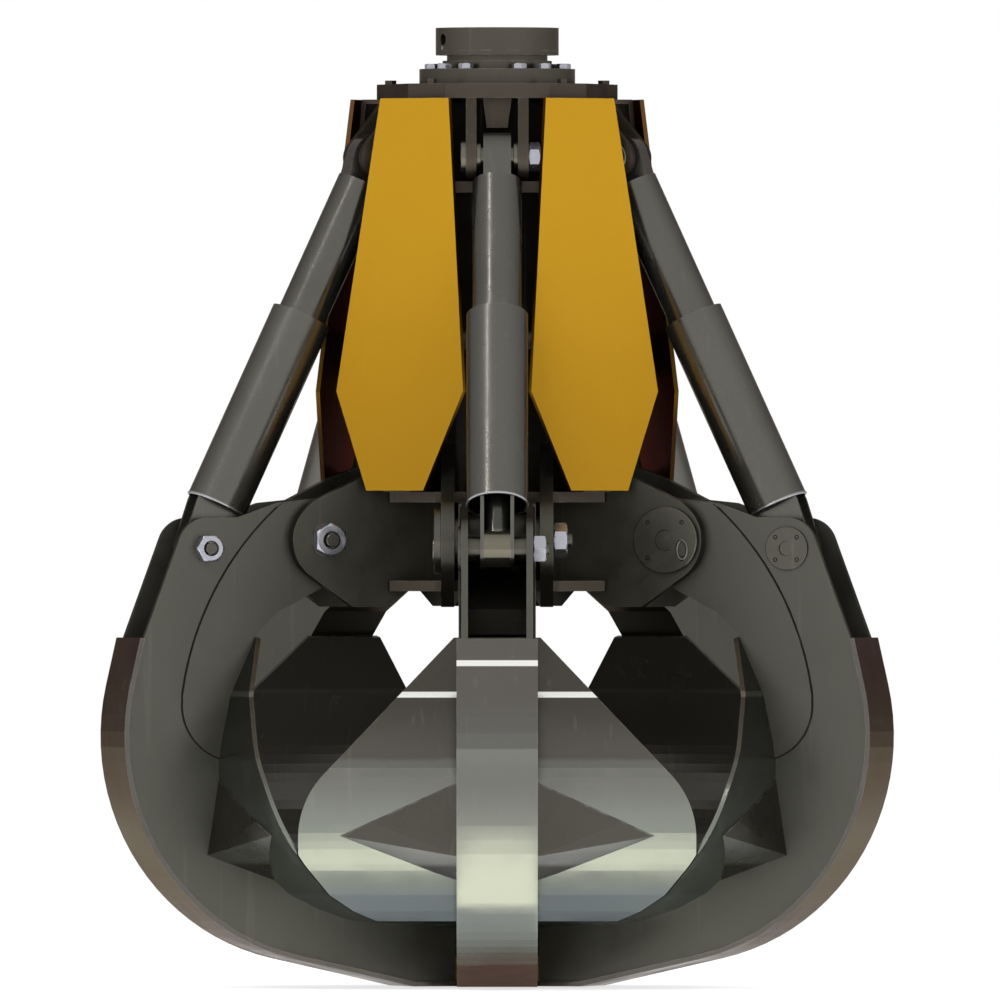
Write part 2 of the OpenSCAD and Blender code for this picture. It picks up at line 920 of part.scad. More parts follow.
tip_rise = [76, 40];
tip_low = leg_corner(band_c + band_r * leg_normal(band_tip_legs[0][1], false),
    band_tip_legs, false, 0, 1).y;
module tine_tip(k) {
    color(paint)
    at_hinge(k)
        translate([-hinge_r, 0, 0])
            intersection() {
                tine_sector(leaf_gap, -reach, 0);
                across(-tip_r, tip_r)
                    polygon([
                        [0, tip_low], [tip_r, tip_low], [tip_r, tip_low + tip_rise[1]],
                        [0, tip_low + tip_rise[0]]
                    ]);
            }
}

lower_head_t = 6;
lower_cap_r = 40;
module lower_pin(k) {
    at_hinge(k)
        translate([low_pin.x, 0, low_pin.y]) {
            color(steel) {
                cross_pin(lower_pin_d, -web_out, web_out);
                cross_pin(2 * lower_cap_r, -web_out - lower_head_t, -web_out);
                cross_pin(m30[0], web_out - eps, web_out + m30[2] + 7);
            }
            color(plated)
                translate([0, web_out, 0])
                    rotate([-90, 0, 0])
                        hex_nut(m30, m30[0]);
        }
}

/* Cylinders, along Z from the lower pin */

gland_l = 35;
gland_flange_l = 12;
gland_flange_d = 86;
cylinder_cap_l = 20;
lug_rise = 62;

module guard_sleeve(k) {
    lug_in = rod_eye_w / 2;
    lug_half = sqrt(pow(sleeve_d / 2 - 1, 2) - pow(lug_in + lug_t, 2));
    lug_top = sleeve_low + lug_rise;
    lug_low = sleeve_low - 10;
    color(steel)
    at_lower_pin(k) {
        translate([0, 0, sleeve_low])
            difference() {
                cylinder(d = sleeve_d, h = sleeve_l);
                translate([0, 0, -1])
                    cylinder(d = sleeve_d - 2 * sleeve_wall, h = sleeve_l + 2);
            }
        difference() {
            both_sides()
                across(lug_in, lug_in + lug_t)
                    polygon(concat(
                        [[-lug_half, lug_top], [lug_half, lug_top], [lug_half, lug_low]],
                        wrap([lug_half, lug_low], -1, [-lug_half, lug_low], 1, [0, 0], rod_eye_r + 2),
                        [[-lug_half, lug_low]]
                    ));
            cross_pin(lower_pin_d + fit, -web_in, web_in);
        }
    }
}

piston_low = cyl_l - barrel_end + gland_l + 25;
module piston_rod(k) {
    color("#9a9a98")
    at_lower_pin(k)
        difference() {
            union() {
                cross_pin(2 * rod_eye_r, -rod_eye_w / 2, rod_eye_w / 2);
                difference() {
                    cylinder(d = rod_d, h = piston_low + eps);
                    both_sides()
                        translate([-rod_d, rod_eye_w / 2, -1])
                            cube([2 * rod_d, rod_d, sleeve_low + lug_rise + 2]);
                }
                translate([0, 0, piston_low])
                    cylinder(d = barrel_bore - fit, h = piston_l);
            }
            cross_pin(lower_pin_d + fit, -web_in, web_in);
        }
}

module cylinder_barrel(k) {
    tube_low = cyl_l - barrel_end;
    tube_top = cyl_l - barrel_start;
    shoulder = [eye_r * 0.84, tube_top];
    pin = [0, cyl_l];
    color(steel)
    at_lower_pin(k) {
        difference() {
            union() {
                translate([0, 0, tube_low])
                    cylinder(d = barrel_d, h = tube_top - tube_low);
                across(-eye_w / 2, eye_w / 2)
                    polygon(concat(
                        [[shoulder.x, shoulder.y - 1], shoulder],
                        wrap(shoulder, 1, [-shoulder.x, shoulder.y], -1, pin, eye_r),
                        [[-shoulder.x, shoulder.y], [-shoulder.x, shoulder.y - 1]]
                    ));
            }
            translate([0, 0, tube_low - 1])
                cylinder(d = barrel_bore, h = tube_top - tube_low - cylinder_cap_l + 1);
            translate([0, 0, cyl_l])
                cross_pin(upper_pin_d + 2 * eye_play, -eye_w, eye_w);
        }
        difference() {
            union() {
                translate([0, 0, tube_low])
                    cylinder(d = barrel_bore, h = gland_l);
                translate([0, 0, tube_low - gland_flange_l])
                    cylinder(d = gland_flange_d, h = gland_flange_l);
            }
            translate([0, 0, tube_low - gland_flange_l - 1])
                cylinder(d = rod_d + fit, h = gland_l + gland_flange_l + 2);
        }
    }
}

rotator_head();
retaining_ring();
port_plugs();
rotator_flange();
flange_bolts();
top_plate();
column();
hanger_plates();
hub_plates();
hub_brackets();
guard_panels();
panel_brackets();
upper_pins();
hinge_pins();
manifolds();
tine_webs(1);  // tine_webs_1
tine_webs(2);  // tine_webs_2
tine_webs(3);  // tine_webs_3
tine_webs(4);  // tine_webs_4
tine_webs(5);  // tine_webs_5
tine_band(1);  // tine_band_1
tine_band(2);  // tine_band_2
tine_band(3);  // tine_band_3
tine_band(4);  // tine_band_4
tine_band(5);  // tine_band_5
tine_leaf(1);  // tine_leaf_1
tine_leaf(2);  // tine_leaf_2
tine_leaf(3);  // tine_leaf_3
tine_leaf(4);  // tine_leaf_4
tine_leaf(5);  // tine_leaf_5
tine_gussets(1);  // tine_gussets_1
tine_gussets(2);  // tine_gussets_2
tine_gussets(3);  // tine_gussets_3
tine_gussets(4);  // tine_gussets_4
tine_gussets(5);  // tine_gussets_5
tine_tip(1);  // tine_tip_1
tine_tip(2);  // tine_tip_2
tine_tip(3);  // tine_tip_3
tine_tip(4);  // tine_tip_4
tine_tip(5);  // tine_tip_5
lower_pin(1);  // lower_pin_1
lower_pin(2);  // lower_pin_2
lower_pin(3);  // lower_pin_3
lower_pin(4);  // lower_pin_4
lower_pin(5);  // lower_pin_5
guard_sleeve(1);  // guard_sleeve_1
guard_sleeve(2);  // guard_sleeve_2
guard_sleeve(3);  // guard_sleeve_3
guard_sleeve(4);  // guard_sleeve_4
guard_sleeve(5);  // guard_sleeve_5
piston_rod(1);  // piston_rod_1
piston_rod(2);  // piston_rod_2
piston_rod(3);  // piston_rod_3
piston_rod(4);  // piston_rod_4
piston_rod(5);  // piston_rod_5
cylinder_barrel(1);  // cylinder_barrel_1
cylinder_barrel(2);  // cylinder_barrel_2
cylinder_barrel(3);  // cylinder_barrel_3
cylinder_barrel(4);  // cylinder_barrel_4
cylinder_barrel(5);  // cylinder_barrel_5
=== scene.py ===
# %% [markdown]
# # An orange peel grapple
# Five hooked tines close under a guarded frame, each pushed by its own hydraulic
# cylinder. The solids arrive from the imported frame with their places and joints. This
# lesson adds what the solids leave plain: finishes, chamfered pins and nuts, welds and
# light. Lengths are in metres, z = 0 is the crane face and the front tine is on -Y.

# %% Load the frame
from math import cos, pi, radians, sin, tan

import bmesh
import bpy
from mathutils import Matrix, Vector


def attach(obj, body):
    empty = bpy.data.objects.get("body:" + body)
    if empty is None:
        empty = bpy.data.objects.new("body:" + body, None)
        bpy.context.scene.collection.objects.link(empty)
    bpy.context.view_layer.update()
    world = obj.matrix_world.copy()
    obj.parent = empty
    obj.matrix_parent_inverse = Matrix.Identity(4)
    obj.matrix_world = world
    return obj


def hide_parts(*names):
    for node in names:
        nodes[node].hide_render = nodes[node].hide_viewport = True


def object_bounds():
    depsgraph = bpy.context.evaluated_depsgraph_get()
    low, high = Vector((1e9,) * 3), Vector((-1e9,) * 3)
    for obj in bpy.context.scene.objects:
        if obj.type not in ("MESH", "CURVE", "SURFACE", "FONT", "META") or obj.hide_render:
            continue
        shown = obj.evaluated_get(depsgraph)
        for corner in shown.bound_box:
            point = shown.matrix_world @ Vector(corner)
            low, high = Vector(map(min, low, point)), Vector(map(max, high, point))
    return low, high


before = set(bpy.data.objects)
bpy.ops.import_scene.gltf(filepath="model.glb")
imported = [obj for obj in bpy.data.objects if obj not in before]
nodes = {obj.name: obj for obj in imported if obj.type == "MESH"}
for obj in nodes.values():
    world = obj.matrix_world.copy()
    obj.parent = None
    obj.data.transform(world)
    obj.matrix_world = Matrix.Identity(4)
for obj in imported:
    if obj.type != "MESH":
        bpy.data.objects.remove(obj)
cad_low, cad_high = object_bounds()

tines = range(1, 6)
print("solids:", len(nodes), "box:", [round(v, 3) for v in (*cad_low, *cad_high)])

# %% [markdown]
# The photograph looks level at the front tine through a very long lens, so upright and
# level edges stay parallel. The camera stands far off with a 1200 mm lens. One pixel is
# 1.83 mm on the object, and that sets the distance.

# %% Camera
photo_width = 1.8286
view_centre = Vector((0.0051, 0.0, -0.8631))
lens_mm, sensor_mm = 1200.0, 36.0
camera_data = bpy.data.cameras.new("camera")
camera_data.lens, camera_data.sensor_width = lens_mm, sensor_mm
camera_data.clip_start, camera_data.clip_end = 1.0, 300.0
camera = bpy.data.objects.new("camera", camera_data)
camera.location = view_centre + Vector((0, -photo_width * lens_mm / sensor_mm, 0))
camera.rotation_euler = (pi / 2, 0, 0)
bpy.context.scene.collection.objects.link(camera)
bpy.context.scene.camera = camera
bpy.context.scene.view_settings.view_transform = "Standard"
print("camera distance:", round(-camera.location.y, 2))

# %% [markdown]
# A material is a small graph of nodes. Two helpers keep the graphs short: one adds a
# node and fills its sockets, the other gives a colour in the way a screen writes it.


# %% Helpers for node graphs
def screen(r, g, b):
    """A colour written 0 to 255 as on a screen, turned into the linear values of a shader."""
    def lin(c):
        c /= 255
        return c / 12.92 if c <= 0.04045 else ((c + 0.055) / 1.055) ** 2.4
    return (lin(r), lin(g), lin(b), 1.0)


def add_node(tree, kind, sockets=None, **settings):
    """Adds a node. A socket's value may be a number, a colour or another node's output."""
    made = tree.nodes.new(kind)
    for key, value in settings.items():
        setattr(made, key, value)
    for key, value in (sockets or {}).items():
        if isinstance(value, bpy.types.NodeSocket):
            tree.links.new(value, made.inputs[key])
        else:
            made.inputs[key].default_value = value
    return made


def math_node(tree, operation, a, b=0.0, clamp=False):
    return add_node(tree, "ShaderNodeMath", {0: a, 1: b},
                    operation=operation, use_clamp=clamp).outputs[0]


def ramp(tree, value, low, high):
    """0 below low, 1 above high, smooth between."""
    return add_node(tree, "ShaderNodeMapRange", {
        "Value": value, "From Min": low, "From Max": high,
    }, interpolation_type="SMOOTHSTEP").outputs["Result"]


def mix_colour(tree, share, a, b):
    return add_node(tree, "ShaderNodeMix", {"Factor": share, 6: a, 7: b},
                    data_type="RGBA").outputs[2]


def new_group(name, inputs, outputs):
    """An empty node group with float or colour sockets, told apart by their defaults."""
    tree = bpy.data.node_groups.new(name, "ShaderNodeTree")
    for side, sockets in (("INPUT", inputs), ("OUTPUT", outputs)):
        for key, value in sockets.items():
            kind = "NodeSocketFloat" if isinstance(value, float) else "NodeSocketColor"
            socket = tree.interface.new_socket(key, in_out=side, socket_type=kind)
            if side == "INPUT":
                socket.default_value = value
    return tree, tree.nodes.new("NodeGroupInput"), tree.nodes.new("NodeGroupOutput")


# %% [markdown]
# Real plate is never one colour. Mill scale and weather give clouds a hand wide, the
# surface has a fine grain, and handling leaves thin scratches. Each effect is a node
# group, so every finish can place it with its own values.

# %% Group: clouds and grain of steel plate
plate_group, group_in, group_out = new_group(
    "plate_grain",
    {"Cloud Size": 9.0, "Grain Size": 420.0, "Contrast": 0.5},
    {"Tone": 0.0, "Roughness Shift": 0.0, "Height": 0.0},
)
where = add_node(plate_group, "ShaderNodeTexCoord").outputs["Object"]
clouds = add_node(plate_group, "ShaderNodeTexNoise", {
    "Vector": where, "Scale": group_in.outputs["Cloud Size"], "Detail": 6.0,
    "Roughness": 0.62,
}).outputs["Fac"]
grain = add_node(plate_group, "ShaderNodeTexNoise", {
    "Vector": where, "Scale": group_in.outputs["Grain Size"], "Detail": 3.0,
}).outputs["Fac"]
both = math_node(plate_group, "ADD", math_node(plate_group, "MULTIPLY", clouds, 0.8),
                 math_node(plate_group, "MULTIPLY", grain, 0.2))
tone = math_node(plate_group, "MULTIPLY_ADD", both, group_in.outputs["Contrast"])
plate_group.links.new(tone, group_out.inputs["Tone"])
tone.node.inputs[2].default_value = 0.5
shift = math_node(plate_group, "MULTIPLY", math_node(plate_group, "SUBTRACT", clouds, 0.5), 0.5)
plate_group.links.new(shift, group_out.inputs["Roughness Shift"])
plate_group.links.new(both, group_out.inputs["Height"])

# %% Group: edges rubbed bright
wear_group, group_in, group_out = new_group(
    "edge_wear", {"Width": 0.003, "Amount": 0.6}, {"Mask": 0.0})
rounded = add_node(wear_group, "ShaderNodeBevel", {"Radius": group_in.outputs["Width"]}, samples=6)
flat = add_node(wear_group, "ShaderNodeNewGeometry").outputs["Normal"]
across = add_node(wear_group, "ShaderNodeVectorMath", {0: rounded.outputs["Normal"], 1: flat},
                  operation="DOT_PRODUCT").outputs["Value"]
edge = ramp(wear_group, math_node(wear_group, "SUBTRACT", 1.0, across), 0.02, 0.22)
where = add_node(wear_group, "ShaderNodeTexCoord").outputs["Object"]
patchy = add_node(wear_group, "ShaderNodeTexNoise", {
    "Vector": where, "Scale": 38.0, "Detail": 5.0,
}).outputs["Fac"]
patchy = ramp(wear_group, patchy, 0.38, 0.62)
mask = math_node(wear_group, "MULTIPLY", math_node(wear_group, "MULTIPLY", edge, patchy),
                 group_in.outputs["Amount"])
wear_group.links.new(mask, group_out.inputs["Mask"])

# %% Group: thin scratches along the work
scratch_group, group_in, group_out = new_group(
    "scratches", {"Size": 60.0, "Amount": 0.5}, {"Mask": 0.0})
where = add_node(scratch_group, "ShaderNodeTexCoord").outputs["Object"]
lines = []
for turn in (0.35, -0.6):
    laid = add_node(scratch_group, "ShaderNodeMapping", {
        "Vector": where, "Rotation": (turn, turn * 0.7, 0.4), "Scale": (1.0, 1.0, 0.03),
    }).outputs[0]
    streak = add_node(scratch_group, "ShaderNodeTexNoise", {
        "Vector": laid, "Scale": group_in.outputs["Size"], "Detail": 2.0,
    }).outputs["Fac"]
    lines.append(ramp(scratch_group, streak, 0.66, 0.72))
mask = math_node(scratch_group, "MAXIMUM", *lines)
mask = math_node(scratch_group, "MULTIPLY", mask, group_in.outputs["Amount"])
scratch_group.links.new(mask, group_out.inputs["Mask"])

# %% Group: dust that settles on top
dust_group, group_in, group_out = new_group(
    "dust", {"Amount": 0.4, "Size": 24.0}, {"Mask": 0.0})
up = add_node(dust_group, "ShaderNodeSeparateXYZ", {
    0: add_node(dust_group, "ShaderNodeTexCoord").outputs["Normal"],
}).outputs["Z"]
where = add_node(dust_group, "ShaderNodeTexCoord").outputs["Object"]
spots = add_node(dust_group, "ShaderNodeTexNoise", {
    "Vector": where, "Scale": group_in.outputs["Size"], "Detail": 6.0, "Roughness": 0.65,
}).outputs["Fac"]
mask = math_node(dust_group, "MULTIPLY", ramp(dust_group, up, 0.3, 0.9),
                 ramp(dust_group, spots, 0.35, 0.7))
mask = math_node(dust_group, "MULTIPLY", mask, group_in.outputs["Amount"])
dust_group.links.new(mask, group_out.inputs["Mask"])
print("groups:", [g.name for g in bpy.data.node_groups])

# %% [markdown]
# Plate, castings and machined parts are all bare metal that differs in tone, gloss and
# wear. One function builds such a finish. A small matte share stands for oil and dirt.
# The edge tint is a painted reflection: it makes the metal dark and brown where the
# surface turns away, not bright, in place of the dark surroundings it would mirror.


# %% The finish of bare and oiled steel
metal_share, matte_share = 0.88, 0.28
dust_colour = (104, 92, 76)


def group_node(tree, group, **values):
    made = add_node(tree, "ShaderNodeGroup", node_tree=group)
    for key, value in values.items():
        made.inputs[key.replace("_", " ")].default_value = value
    return made.outputs


def steel_finish(name, colour, roughness, edge_tint, bright=(150, 148, 138), wear=0.5,
                 dust=0.15, scratch=0.06, contrast=0.35, cloud=9.0, grain=420.0,
                 bump=0.12, coat=0.0, wear_width=0.003, zone=None):
    """Metal with clouds, grain, edge wear, scratches and dust. zone changes the colour
    by place and may also give a mask of faces made matte and darker as painted shade."""
    material = bpy.data.materials.new(name)
    material.use_nodes = True
    tree = material.node_tree
    shader = tree.nodes["Principled BSDF"]
    shader.inputs["Metallic"].default_value = metal_share
    shader.inputs["Specular Tint"].default_value = (*edge_tint, 1.0)
    if coat:
        shader.inputs["Coat Weight"].default_value = coat
        shader.inputs["Coat Roughness"].default_value = 0.06
    plate = group_node(tree, plate_group, Cloud_Size=cloud, Grain_Size=grain, Contrast=contrast)
    worn = group_node(tree, wear_group, Amount=wear, Width=wear_width)["Mask"]
    lines = group_node(tree, scratch_group, Amount=scratch)["Mask"]
    dusty = group_node(tree, dust_group, Amount=dust)["Mask"]
    base = screen(*colour)
    dark = tuple(c * 0.62 for c in base[:3]) + (1.0,)
    pale = tuple(min(1.0, c * 1.38) for c in base[:3]) + (1.0,)
    tint = mix_colour(tree, math_node(tree, "SUBTRACT", plate["Tone"], 0.25, True), dark, pale)
    if zone:
        tint, matte_shade = zone(tree, tint, plate)
        if matte_shade:
            loss = math_node(tree, "MULTIPLY", matte_shade, metal_share - matte_share)
            tree.links.new(math_node(tree, "SUBTRACT", metal_share, loss),
                           shader.inputs["Metallic"])
    tint = mix_colour(tree, math_node(tree, "MAXIMUM", worn, lines), tint, screen(*bright))
    tint = mix_colour(tree, dusty, tint, screen(*dust_colour))
    tree.links.new(tint, shader.inputs["Base Color"])
    rough = math_node(tree, "ADD", plate["Roughness Shift"], roughness)
    rough = math_node(tree, "ADD", rough, math_node(tree, "MULTIPLY", dusty, 0.4), True)
    tree.links.new(rough, shader.inputs["Roughness"])
    relief = math_node(tree, "SUBTRACT", plate["Height"], math_node(tree, "MULTIPLY", lines, 0.4))
    bumped = add_node(tree, "ShaderNodeBump", {
        "Height": relief, "Strength": bump, "Distance": 0.0006})
    tree.links.new(bumped.outputs[0], shader.inputs["Normal"])
    return material


def rod_zone(tree, tint, plate):
    """The eye at the lower end of a rod is cream as a painted reflection; the oiled shaft above it
    is darker.
    """
    height = add_node(tree, "ShaderNodeSeparateXYZ", {
        0: add_node(tree, "ShaderNodeTexCoord").outputs["Object"],
    }).outputs["Z"]
    return mix_colour(tree, ramp(tree, height, -0.921, -0.912), tint, screen(74, 74, 70)), None


def gusset_zone(tree, tint, plate):
    """The lower plate of a gusset faces down. It carries a painted highlight along its upper edge
    and painted shade below it.
    """
    coordinate = add_node(tree, "ShaderNodeTexCoord").outputs
    down = add_node(tree, "ShaderNodeSeparateXYZ", {0: coordinate["Normal"]}).outputs["Z"]
    height = add_node(tree, "ShaderNodeSeparateXYZ", {0: coordinate["Object"]}).outputs["Z"]
    # Painted highlight along the fold, painted shade lower on the down-facing plate.
    lower = mix_colour(tree, ramp(tree, height, -1.531, -1.520), screen(82, 77, 72),
                       screen(140, 139, 135))
    return mix_colour(tree, ramp(tree, down, -0.1, -0.3), tint, lower), None


# Edge tints: painted reflection colours for faces seen at a grazing angle.
brown_edge = (0.28, 0.235, 0.22)
grey_edge = (0.45, 0.42, 0.40)
blue_edge = (0.52, 0.55, 0.57)
band_brown_edge = (0.30, 0.235, 0.20)
head_finish = steel_finish("head_steel", (86, 82, 74), 0.34, grey_edge, wear=0.5)
frame_finish = steel_finish("frame_steel", (80, 73, 65), 0.42, brown_edge, wear=0.35)
# The column's near black colour is painted shade for the dark inside of the frame.
column_shade_finish = steel_finish("column_painted_shade", (27, 25, 22), 0.45, brown_edge, wear=0.3)
web_finish = steel_finish("tine_steel", (92, 91, 84), 0.38, brown_edge, wear=0.3)
barrel_finish = steel_finish("barrel_steel", (95, 93, 87), 0.26, brown_edge, grain=700.0,
                             wear=0.3, dust=0.1, bump=0.03, coat=0.25)
sleeve_finish = steel_finish("sleeve_steel", (99, 97, 91), 0.28, brown_edge, wear=0.4,
                             dust=0.1, bump=0.03, coat=0.25)
# The pale rim colour is a painted highlight on the rounded ends of the guard tubes.
rim_highlight_finish = steel_finish("rim_painted_highlight", (176, 176, 178), 0.25, grey_edge, contrast=0.2, wear=0.0)
# The rod's cream base is a painted reflection on its eye; rod_zone gives the shaft a darker grey.
rod_finish = steel_finish("rod_steel", (122, 119, 104), 0.20, grey_edge, wear=0.2,
                          dust=0.0, contrast=0.2, bump=0.04, zone=rod_zone)
# The pale eye colour is a painted reflection of the light on the front-facing curves of the pins.
eye_finish = steel_finish("eye_steel", (116, 114, 102), 0.24, grey_edge, wear=0.3,
                          dust=0.05, contrast=0.2)
bracket_finish = steel_finish("bracket_steel", (84, 83, 75), 0.36, brown_edge, wear=0.5)
pin_finish = steel_finish("pin_steel", (92, 90, 82), 0.26, grey_edge, wear=0.5, dust=0.1)
zinc_finish = steel_finish("zinc", (182, 182, 192), 0.22, (0.75, 0.75, 0.8), contrast=0.3,
                           bright=(215, 215, 222), wear=0.5, dust=0.05, cloud=40.0)
bead_finish = steel_finish("bead_steel", (42, 39, 34), 0.45, brown_edge, wear=0.0, cloud=60.0)
gusset_finish = steel_finish("gusset_steel", (86, 83, 76), 0.30, blue_edge, wear=0.5,
                             bright=(150, 151, 147), wear_width=0.005, zone=gusset_zone)
print("finishes:", len(bpy.data.materials))

# %% [markdown]
# The belly of each tine carries painted reflection, coloured by height: lighter the lower it
# lies, down to a heel with a painted blue cast and a brown end plate. The colours follow the
# height on the tine. The inner side of the shell is painted darker and matte as painted
# shade: there the surface looks towards the middle of the grapple, which the mask reads
# from the normal. The bends of the front tine's plates carry a painted highlight line.


# %% The painted reflection on the belly of bands and leaves
def belly(bend, bend_highlight, stops):
    """Painted reflection colours by height for the outside of a shell, with a painted highlight
    line at its bend.
    """
    def zone(tree, tint, plate):
        coordinate = add_node(tree, "ShaderNodeTexCoord").outputs
        height = add_node(tree, "ShaderNodeSeparateXYZ", {0: coordinate["Object"]}).outputs["Z"]
        ragged = math_node(tree, "MULTIPLY", plate["Roughness Shift"], 0.03)
        sheen_height = math_node(tree, "ADD", height, ragged)
        flat = add_node(tree, "ShaderNodeVectorMath", {0: coordinate["Object"], 1: (1, 1, 0)},
                        operation="MULTIPLY").outputs["Vector"]
        outward = add_node(tree, "ShaderNodeVectorMath", {0: coordinate["Normal"], 1: flat},
                           operation="DOT_PRODUCT").outputs["Value"]
        down = add_node(tree, "ShaderNodeSeparateXYZ", {0: coordinate["Normal"]}).outputs["Z"]
        outer_face = math_node(tree, "MAXIMUM", ramp(tree, outward, 0.08, 0.14),
                           ramp(tree, down, -0.3, -0.6))
        # Each stop paints a reflection colour on faces that look out or down.
        for high, low, colour in stops:
            share = math_node(tree, "MULTIPLY", ramp(tree, sheen_height, high, low), outer_face)
            tint = mix_colour(tree, share, tint, screen(*colour))
        # Painted shade: faces that look inwards are darker and matte.
        shaded_inside = ramp(tree, outward, 0.0, -0.06)
        tint = mix_colour(tree, shaded_inside, tint, screen(88, 84, 77))
        # A painted highlight line along the bend, full on the front tine, faint on side leaves,
        # none on side bands.
        outer, inner = 0.0060, 0.0045
        line = math_node(tree, "MULTIPLY", ramp(tree, height, bend - outer, bend - inner),
                         ramp(tree, height, bend + outer, bend + inner))
        line = math_node(tree, "MULTIPLY", math_node(tree, "MULTIPLY", line, outer_face), bend_highlight)
        return mix_colour(tree, line, tint, screen(238, 238, 232)), shaded_inside
    return zone


# The height stops of bands and leaves are painted reflection colours.
def band_steel(name, bend_highlight):
    return steel_finish(name, (100, 96, 91), 0.20, band_brown_edge, scratch=0.08, contrast=0.25,
                        bump=0.06, zone=belly(-1.1580, bend_highlight, [
                            (-1.19, -1.31, (99, 99, 95)),
                            (-1.310, -1.316, (108, 108, 103)),
                            (-1.36, -1.50, (134, 137, 128)),
                            (-1.59, -1.625, (124, 129, 126)),
                            (-1.704, -1.709, (97, 87, 80)),
                        ]))


def leaf_steel(name, bend_highlight):
    return steel_finish(name, (77, 74, 67), 0.20, blue_edge, scratch=0.08, contrast=0.25,
                        bump=0.06, zone=belly(-1.2160, bend_highlight, [
                            (-1.23, -1.32, (88, 85, 79)),
                            (-1.328, -1.340, (104, 104, 98)),
                            (-1.36, -1.46, (128, 132, 124)),
                            (-1.555, -1.585, (122, 129, 129)),
                        ]))


# The front tine's band and leaf are copies with the full painted highlight at the bend.
band_finish, highlit_front_band = band_steel("band_steel", 0.0), band_steel("front_band_steel", 1.0)
leaf_finish, highlit_front_leaf = leaf_steel("leaf_steel", 0.15), leaf_steel("front_leaf_steel", 1.0)

# %% [markdown]
# The guards and the tips are painted yellow. Paint is a coloured film with a soft gloss
# over steel: it fades in patches, chips along its edges down to dark steel, and is darker
# towards the bottom. The back of a guard is dark brown as painted shade.


# %% Yellow paint
def paint_finish(name, colour, chipped=0.8, shaded_back_side=False):
    material = bpy.data.materials.new(name)
    material.use_nodes = True
    tree = material.node_tree
    shader = tree.nodes["Principled BSDF"]
    shader.inputs["Coat Weight"].default_value = 0.03
    shader.inputs["Coat Roughness"].default_value = 0.25
    shader.inputs["Specular IOR Level"].default_value = 0.15
    shader.inputs["Specular Tint"].default_value = (*brown_edge, 1.0)
    plate = group_node(tree, plate_group, Cloud_Size=5.0, Grain_Size=600.0, Contrast=0.25)
    worn = group_node(tree, wear_group, Amount=chipped, Width=0.0016)["Mask"]
    lines = group_node(tree, scratch_group, Amount=0.06, Size=45.0)["Mask"]
    dusty = group_node(tree, dust_group, Amount=0.3)["Mask"]
    base = screen(*colour)
    deep = tuple(c * 0.86 for c in base[:3]) + (1.0,)
    faded = tuple(min(1.0, c * 1.1) for c in base[:3]) + (1.0,)
    coordinate = add_node(tree, "ShaderNodeTexCoord")
    height = add_node(tree, "ShaderNodeSeparateXYZ", {0: coordinate.outputs["Object"]})
    tint = mix_colour(tree, math_node(tree, "SUBTRACT", plate["Tone"], 0.25, True), deep, faded)
    # Darker towards the bottom of the guard.
    low_darkening = math_node(tree, "MULTIPLY", ramp(tree, height.outputs["Z"], -0.30, -0.86), 0.28)
    tint = mix_colour(tree, low_darkening, tint, screen(140, 96, 26))
    # Painted shade: faces of a guard that look inwards are dark brown and metallic.
    if shaded_back_side:
        flat = add_node(tree, "ShaderNodeVectorMath", {
            0: coordinate.outputs["Object"], 1: (1, 1, 0)}, operation="MULTIPLY")
        inward = add_node(tree, "ShaderNodeVectorMath", {
            0: coordinate.outputs["Normal"], 1: flat.outputs["Vector"],
        }, operation="DOT_PRODUCT").outputs["Value"]
        back = ramp(tree, inward, 0.16, 0.11)
        tint = mix_colour(tree, back, tint, screen(100, 70, 40))
        tree.links.new(back, shader.inputs["Metallic"])
    tint = mix_colour(tree, math_node(tree, "MULTIPLY", lines, 0.6), tint, screen(216, 178, 84))
    tint = mix_colour(tree, worn, tint, screen(66, 58, 48))
    tint = mix_colour(tree, dusty, tint, screen(128, 108, 72))
    tree.links.new(tint, shader.inputs["Base Color"])
    rough = math_node(tree, "ADD", plate["Roughness Shift"], 0.42)
    tree.links.new(math_node(tree, "ADD", rough, math_node(tree, "MULTIPLY", worn, 0.25), True),
                   shader.inputs["Roughness"])
    relief = math_node(tree, "SUBTRACT", plate["Height"], worn)
    bumped = add_node(tree, "ShaderNodeBump", {"Height": relief, "Strength": 0.15,
                                               "Distance": 0.0005})
    tree.links.new(bumped.outputs[0], shader.inputs["Normal"])
    return material


guard_paint = paint_finish("guard_paint", (207, 156, 35), shaded_back_side=True)
# The tips are a dark yellow as painted shade, low between the tines.
shaded_tip_paint = paint_finish("shaded_tip_paint", (118, 92, 4), chipped=0.6)

# %% Give each solid its finish
finish_of = {
    "rotator_head": head_finish, "retaining_ring": head_finish, "rotator_flange": head_finish,
    "port_plugs": zinc_finish, "flange_bolts": zinc_finish, "top_plate": frame_finish,
    "column": column_shade_finish, "hanger_plates": frame_finish, "hub_plates": frame_finish,
    "hub_brackets": bracket_finish, "guard_panels": guard_paint, "panel_brackets": frame_finish,
    "upper_pins": pin_finish, "hinge_pins": pin_finish, "manifolds": head_finish,
    "tine_webs": web_finish, "tine_band": band_finish, "tine_leaf": leaf_finish,
    "tine_gussets": gusset_finish, "tine_tip": shaded_tip_paint, "lower_pin": pin_finish,
    "guard_sleeve": sleeve_finish, "piston_rod": rod_finish, "cylinder_barrel": barrel_finish,
}
front_of = {"tine_band_1": highlit_front_band, "tine_leaf_1": highlit_front_leaf}
for name, solid in nodes.items():
    kind = name[:-2] if name[-1].isdigit() else name
    for place in solid.material_slots:
        place.material = front_of.get(name, finish_of[kind])
print("dressed:", len(nodes))

# %% [markdown]
# Every pin, nut and screw of the grapple is turned or hexagonal, so one helper draws them
# all: it spins a profile round an axis and, where a ring names its width across flats,
# clips the circle to a hexagon. The slanted rings of a nut clipped that way leave the
# curved chamfers of a real one.


